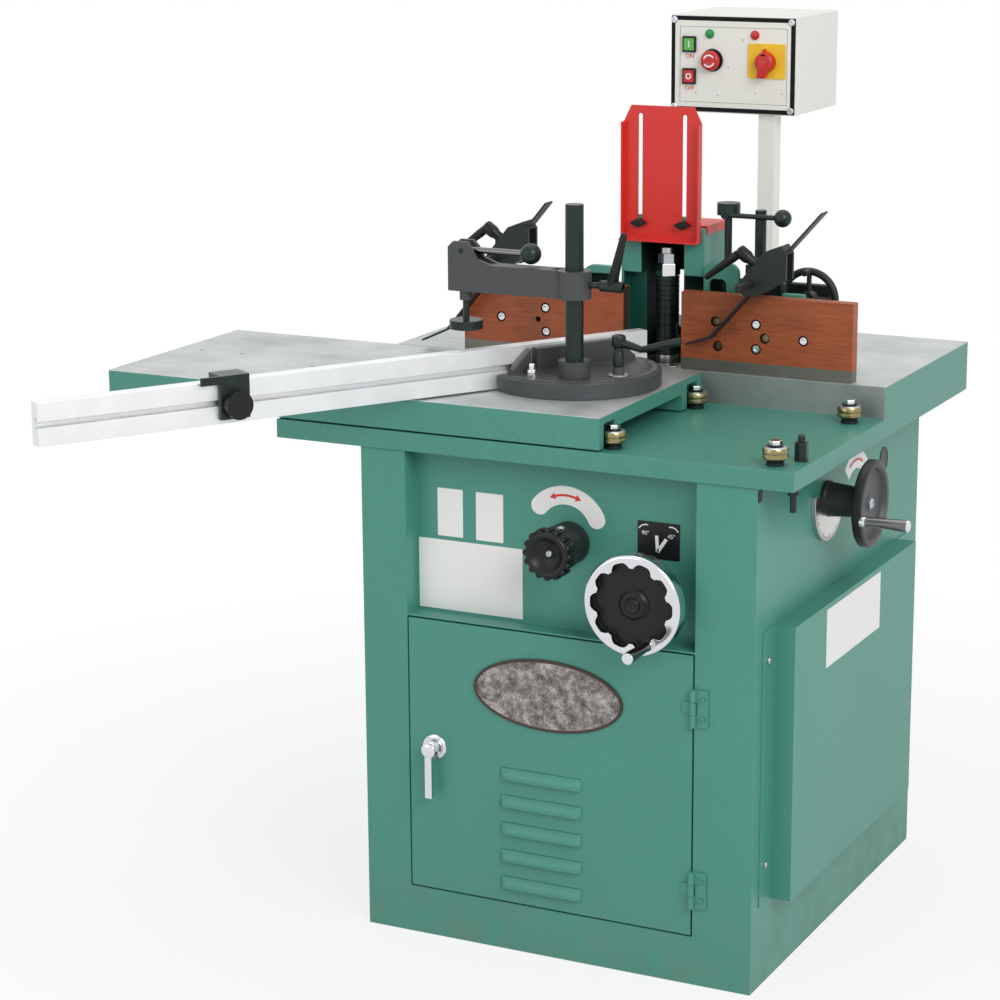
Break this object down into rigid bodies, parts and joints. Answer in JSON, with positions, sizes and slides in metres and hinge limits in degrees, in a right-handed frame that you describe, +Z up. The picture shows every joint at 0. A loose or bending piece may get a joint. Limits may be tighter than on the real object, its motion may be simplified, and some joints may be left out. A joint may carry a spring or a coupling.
{
  "type": "spindle moulder",
  "caption": "Sliding-table spindle moulder: green cabinet with door and hand wheels, tilting spindle, fence with hold-downs and guard, mitre gauge with clamp, control box on a column.",
  "frame": {"origin": "middle of the cabinet's footprint, on the floor", "axes": "+X right along the front, +Y from the front to the back, +Z up"},
  "size_m": [1.2658, 1.5151, 1.389],
  "materials": {
    "green_paint": "textured green enamel",
    "ground_iron": "ground and oiled top over painted sides",
    "black_casting": "black painted casting",
    "black_steel": "blackened steel",
    "bright_steel": "machined",
    "chrome": "polished",
    "black_plastic": "moulded",
    "red_paint": "gloss red",
    "board_wood": "plain oiled hardwood",
    "aluminium": "extruded, satin",
    "white_paint": "off-white enamel",
    "red_plastic": "moulded",
    "green_plastic": "moulded",
    "belt_rubber": "ribbed belt",
    "motor_paint": "grey enamel"
  },
  "bodies": {
    "frame": {"cabinet_shell": "green_paint", "door_hinges": "green_paint", "side_cover": "green_paint", "wheel_bushes": "black_steel", "main_table": "green_paint", "table_ring": "ground_iron", "roller_studs": "bright_steel", "table_stop": "black_steel", "fence_hood": "green_paint", "guard_knobs": "black_plastic", "left_holddown_post": "black_steel", "control_column": "white_paint", "control_box": "white_paint"},
    "door": {"access_door": "green_paint"},
    "handle": {"door_handle": "chrome"},
    "lock_knob": {"lock_knob": "black_plastic"},
    "tilt_wheel": {"tilt_wheel": "chrome"},
    "tilt_grip": {"tilt_wheel_grip": "chrome"},
    "lift_wheel": {"lift_wheel": "black_plastic"},
    "lift_grip": {"lift_wheel_grip": "chrome"},
    "cradle": {"tilt_cradle": "black_casting"},
    "carriage": {"spindle_cartridge": "ground_iron", "motor": "motor_paint", "drive_belt": "belt_rubber"},
    "spindle": {"spindle_shaft": "bright_steel", "spindle_collars": "black_steel"},
    "motor_rotor": {"motor_pulley": "bright_steel"},
    "slider": {"sliding_table": "ground_iron"},
    "mitre": {"mitre_base": "black_casting", "mitre_fence": "aluminium"},
    "mitre_lever": {"mitre_lever": "black_steel"},
    "flip_stop": {"stop_block": "black_steel"},
    "stop_knob": {"stop_knob": "black_plastic"},
    "clamp_post": {"clamp_post": "black_steel"},
    "clamp_arm": {"clamp_arm": "black_casting"},
    "clamp_lock": {"clamp_lock_lever": "black_steel"},
    "clamp_cam": {"clamp_cam_lever": "black_steel"},
    "clamp_plunger": {"clamp_plunger": "black_steel"},
    "guard": {"guard_plate": "red_paint"},
    "left_board": {"left_fence_board": "board_wood"},
    "right_wing": {"right_fence_bracket": "green_paint", "right_holddown_post": "black_steel"},
    "right_board": {"right_fence_board": "board_wood"},
    "adjust_wheel": {"fence_adjust_wheel": "black_plastic"},
    "left_holder": {"left_holddown_bracket": "black_casting"},
    "left_blade": {"left_holddown_blade": "black_casting"},
    "left_lever": {"left_holddown_lever": "black_plastic"},
    "right_holder": {"right_holddown_bracket": "black_casting"},
    "right_blade": {"right_holddown_blade": "black_casting"},
    "right_lever": {"right_holddown_lever": "black_plastic"},
    "on_button": {"on_button": "green_plastic"},
    "off_button": {"off_button": "red_plastic"},
    "stop_button": {"stop_button": "red_plastic"},
    "main_switch": {"main_switch": "red_plastic"},
    "roller_1": {"track_roller_1": "bright_steel"},
    "roller_2": {"track_roller_2": "bright_steel"},
    "roller_3": {"track_roller_3": "bright_steel"},
    "roller_4": {"track_roller_4": "bright_steel"},
    "roller_5": {"track_roller_5": "bright_steel"},
    "roller_6": {"track_roller_6": "bright_steel"}
  },
  "joints": [
    {"name": "door_hinge", "type": "hinge", "parent": "frame", "child": "door", "pos_m": [0.2315, -0.3693, 0.3], "axis": [0, 0, 1], "range_deg": [0, 110]},
    {"name": "door_handle_turn", "type": "hinge", "parent": "door", "child": "handle", "pos_m": [-0.2035, -0.364, 0.315], "axis": [0, -1, 0], "range_deg": [0, 90]},
    {"name": "lock_knob_turn", "type": "hinge", "parent": "frame", "child": "lock_knob", "pos_m": [0.013, -0.4, 0.66], "axis": [0, -1, 0], "range_deg": [-180, 180]},
    {"name": "tilt_wheel_turn", "type": "hinge", "parent": "frame", "child": "tilt_wheel", "pos_m": [0.15, -0.4, 0.598], "axis": [0, -1, 0], "continuous": true},
    {"name": "tilt_grip_turn", "type": "hinge", "parent": "tilt_wheel", "child": "tilt_grip", "pos_m": [0.17815, -0.44, 0.54276], "axis": [0, -1, 0], "continuous": true},
    {"name": "lift_wheel_turn", "type": "hinge", "parent": "frame", "child": "lift_wheel", "pos_m": [0.395, -0.081, 0.705], "axis": [1, 0, 0], "continuous": true},
    {"name": "lift_grip_turn", "type": "hinge", "parent": "lift_wheel", "child": "lift_grip", "pos_m": [0.43, -0.13946, 0.6915], "axis": [1, 0, 0], "continuous": true},
    {"name": "spindle_tilt", "type": "hinge", "parent": "frame", "child": "cradle", "pos_m": [-0.014, 0.095, 0.864], "axis": [1, 0, 0], "range_deg": [0, 45]},
    {"name": "spindle_lift", "type": "slide", "parent": "cradle", "child": "carriage", "axis": [0, 0, 1], "range_m": [-0.05, 0]},
    {"name": "spindle_spin", "type": "hinge", "parent": "carriage", "child": "spindle", "pos_m": [-0.014, 0.095, 0.9], "axis": [0, 0, 1], "continuous": true},
    {"name": "motor_spin", "type": "hinge", "parent": "carriage", "child": "motor_rotor", "pos_m": [-0.014, -0.14, 0.615], "axis": [0, 0, 1], "continuous": true},
    {"name": "table_slide", "type": "slide", "parent": "frame", "child": "slider", "axis": [1, 0, 0], "range_m": [-0.04, 0.27]},
    {"name": "mitre_pivot", "type": "hinge", "parent": "slider", "child": "mitre", "pos_m": [-0.062, -0.15, 0.864], "axis": [0, 0, 1], "range_deg": [-28, 77]},
    {"name": "mitre_lever_turn", "type": "hinge", "parent": "mitre", "child": "mitre_lever", "pos_m": [0.02578, -0.18401, 0.909], "axis": [0, 0, 1], "range_deg": [-40, 40]},
    {"name": "flip_stop_slide", "type": "slide", "parent": "mitre", "child": "flip_stop", "axis": [0.5329, 0.8462, 0], "range_m": [-0.26, 0.41]},
    {"name": "stop_knob_turn", "type": "hinge", "parent": "flip_stop", "child": "stop_knob", "pos_m": [-0.37027, -0.63952, 0.896], "axis": [-0.8462, 0.5329, 0], "range_deg": [-180, 180]},
    {"name": "clamp_swivel", "type": "hinge", "parent": "mitre", "child": "clamp_post", "pos_m": [-0.03196, -0.21902, 0.8893], "axis": [0, 0, 1], "range_deg": [-25, 90]},
    {"name": "clamp_arm_slide", "type": "slide", "parent": "clamp_post", "child": "clamp_arm", "axis": [0, 0, 1], "range_m": [-0.06, 0.07]},
    {"name": "clamp_lock_turn", "type": "hinge", "parent": "clamp_arm", "child": "clamp_lock", "pos_m": [0.02804, -0.21902, 1.0323], "axis": [1, 0, 0], "range_deg": [-40, 40]},
    {"name": "clamp_cam_turn", "type": "hinge", "parent": "clamp_arm", "child": "clamp_cam", "pos_m": [-0.21696, -0.21902, 1.0733], "axis": [0, -1, 0], "range_deg": [0, 90]},
    {"name": "clamp_plunger_slide", "type": "slide", "parent": "clamp_arm", "child": "clamp_plunger", "axis": [0, 0, 1], "range_m": [-0.012, 0]},
    {"name": "guard_slide", "type": "slide", "parent": "frame", "child": "guard", "axis": [0, 0, 1], "range_m": [-0.06, 0]},
    {"name": "left_board_slide", "type": "slide", "parent": "frame", "child": "left_board", "axis": [1, 0, 0], "range_m": [-0.03, 0.02]},
    {"name": "right_wing_slide", "type": "slide", "parent": "frame", "child": "right_wing", "axis": [0, 1, 0], "range_m": [-0.012, 0.012]},
    {"name": "right_board_slide", "type": "slide", "parent": "right_wing", "child": "right_board", "axis": [1, 0, 0], "range_m": [-0.02, 0.03]},
    {"name": "adjust_wheel_turn", "type": "hinge", "parent": "right_wing", "child": "adjust_wheel", "pos_m": [0.218, 0.12, 0.974], "axis": [0, 1, 0], "continuous": true},
    {"name": "left_holder_slide", "type": "slide", "parent": "frame", "child": "left_holder", "axis": [0, 0, 1], "range_m": [-0.005, 0.02]},
    {"name": "left_blade_turn", "type": "hinge", "parent": "left_holder", "child": "left_blade", "pos_m": [-0.271, 0.008, 1.026], "axis": [0, 1, 0], "range_deg": [-2.5, 20]},
    {"name": "left_lever_turn", "type": "hinge", "parent": "left_blade", "child": "left_lever", "pos_m": [-0.261, 0.0079, 1.049], "axis": [-0.8192, 0, 0.5736], "range_deg": [-35, 35]},
    {"name": "right_holder_slide", "type": "slide", "parent": "right_wing", "child": "right_holder", "axis": [0, 0, 1], "range_m": [-0.015, 0.04]},
    {"name": "right_blade_turn", "type": "hinge", "parent": "right_holder", "child": "right_blade", "pos_m": [0.17, 0.008, 1.014], "axis": [0, 1, 0], "range_deg": [-8, 15]},
    {"name": "right_lever_turn", "type": "hinge", "parent": "right_blade", "child": "right_lever", "pos_m": [0.18, 0.0079, 1.037], "axis": [-0.8192, 0, 0.5736], "range_deg": [-35, 35]},
    {"name": "on_button_press", "type": "slide", "parent": "frame", "child": "on_button", "axis": [0, 1, 0], "range_m": [0, 0.003], "stiffness_N_per_m": 400},
    {"name": "off_button_press", "type": "slide", "parent": "frame", "child": "off_button", "axis": [0, 1, 0], "range_m": [0, 0.003], "stiffness_N_per_m": 400},
    {"name": "stop_button_press", "type": "slide", "parent": "frame", "child": "stop_button", "axis": [0, 1, 0], "range_m": [0, 0.004], "stiffness_N_per_m": 600},
    {"name": "main_switch_turn", "type": "hinge", "parent": "frame", "child": "main_switch", "pos_m": [0.023, 0.43, 1.314], "axis": [0, 1, 0], "range_deg": [0, 90]},
    {"name": "roller_1_turn", "type": "hinge", "parent": "frame", "child": "roller_1", "pos_m": [-0.425, -0.332, 0.83], "axis": [0, 0, 1], "continuous": true},
    {"name": "roller_2_turn", "type": "hinge", "parent": "frame", "child": "roller_2", "pos_m": [0.085, -0.332, 0.83], "axis": [0, 0, 1], "continuous": true},
    {"name": "roller_3_turn", "type": "hinge", "parent": "frame", "child": "roller_3", "pos_m": [0.34, -0.332, 0.83], "axis": [0, 0, 1], "continuous": true},
    {"name": "roller_4_turn", "type": "hinge", "parent": "frame", "child": "roller_4", "pos_m": [-0.425, -0.02, 0.83], "axis": [0, 0, 1], "continuous": true},
    {"name": "roller_5_turn", "type": "hinge", "parent": "frame", "child": "roller_5", "pos_m": [0.085, -0.02, 0.83], "axis": [0, 0, 1], "continuous": true},
    {"name": "roller_6_turn", "type": "hinge", "parent": "frame", "child": "roller_6", "pos_m": [0.34, -0.02, 0.83], "axis": [0, 0, 1], "continuous": true}
  ],
  "couplings": [
    {"joint": "tilt_wheel_turn", "follows": "spindle_tilt", "ratio": 20},
    {"joint": "lift_wheel_turn", "follows": "spindle_lift", "rad_per_m": 494.74},
    {"joint": "motor_spin", "follows": "spindle_spin", "ratio": 0.57576},
    {"joint": "clamp_plunger_slide", "follows": "clamp_cam_turn", "m_per_rad": -0.0076394},
    {"joint": "adjust_wheel_turn", "follows": "right_wing_slide", "rad_per_m": 3141.6},
    {"joint": "roller_1_turn", "follows": "table_slide", "rad_per_m": 52.632},
    {"joint": "roller_2_turn", "follows": "table_slide", "rad_per_m": 52.632},
    {"joint": "roller_3_turn", "follows": "table_slide", "rad_per_m": 52.632},
    {"joint": "roller_4_turn", "follows": "table_slide", "rad_per_m": -52.632},
    {"joint": "roller_5_turn", "follows": "table_slide", "rad_per_m": -52.632},
    {"joint": "roller_6_turn", "follows": "table_slide", "rad_per_m": -52.632}
  ]
}
